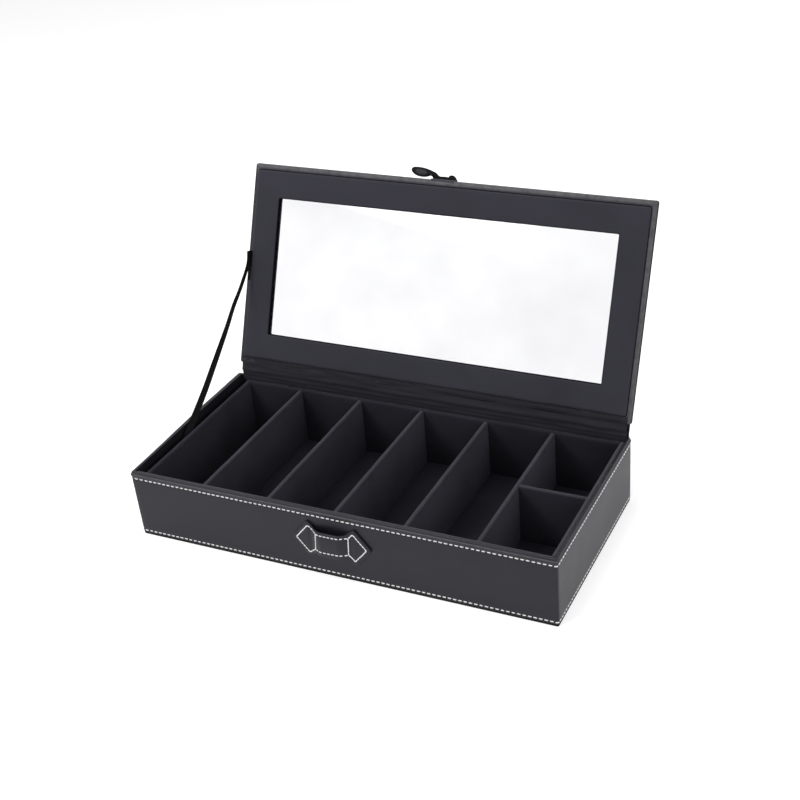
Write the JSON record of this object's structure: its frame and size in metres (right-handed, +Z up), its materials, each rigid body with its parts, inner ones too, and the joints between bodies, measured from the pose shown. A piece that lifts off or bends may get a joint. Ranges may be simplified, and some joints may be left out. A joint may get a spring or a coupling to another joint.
{
  "type": "sunglasses display box",
  "caption": "Black leatherette eyewear case with a window lid on a leather hinge, ribbon stay, velvet tray of long compartments and a tongue and keeper closure.",
  "frame": {"origin": "middle of the underside, on the surface that the case stands on", "axes": "+X along the case to the user's right, +Y from the front to the hinge, +Z up"},
  "size_m": [0.375, 0.2694, 0.2497],
  "materials": {
    "leatherette": "fine grained, low sheen",
    "velvet": "short pile velvet",
    "lining": "brushed suede cloth",
    "ribbon": "woven satin ribbon",
    "felt": "pressed felt",
    "board": "raw fibreboard",
    "clear_pane": "clear acrylic sheet"
  },
  "bodies": {
    "case": {"underside_sheet": "felt", "base_board": "board", "front_wall_board": "board", "rear_wall_board": "board", "left_wall_board": "board", "right_wall_board": "board", "leather_wrap": "leatherette", "tray_floor": "velvet", "tray_front_wall": "velvet", "tray_rear_wall": "velvet", "tray_left_wall": "velvet", "tray_right_wall": "velvet", "divider_1": "velvet", "divider_2": "velvet", "divider_3": "velvet", "divider_4": "velvet", "divider_5": "velvet", "cross_divider": "velvet", "keeper_strap": "leatherette", "hinge_case_leaf": "leatherette", "hinge_leather": "leatherette", "hinge_lining": "lining", "stay_ribbon": "ribbon", "stay_tail": "ribbon"},
    "lid": {"lid_board": "board", "lid_cover": "leatherette", "window_pane": "clear_pane", "lid_liner": "lining", "hinge_lid_leaf": "leatherette", "stay_tab": "ribbon", "tongue_root": "leatherette"},
    "tongue": {"closure_tongue": "leatherette"}
  },
  "joints": [
    {"name": "lid_hinge", "type": "hinge", "parent": "case", "child": "lid", "pos_m": [0, 0.09402, 0.06943], "axis": [1, 0, 0], "range_deg": [0, 113.1], "deforming": ["stay_ribbon", "hinge_leather", "hinge_lining"]},
    {"name": "tongue_hinge", "type": "hinge", "parent": "lid", "child": "tongue", "pos_m": [0, 0.16667, 0.2421], "axis": [1, 0, 0], "range_deg": [0, 90]}
  ]
}
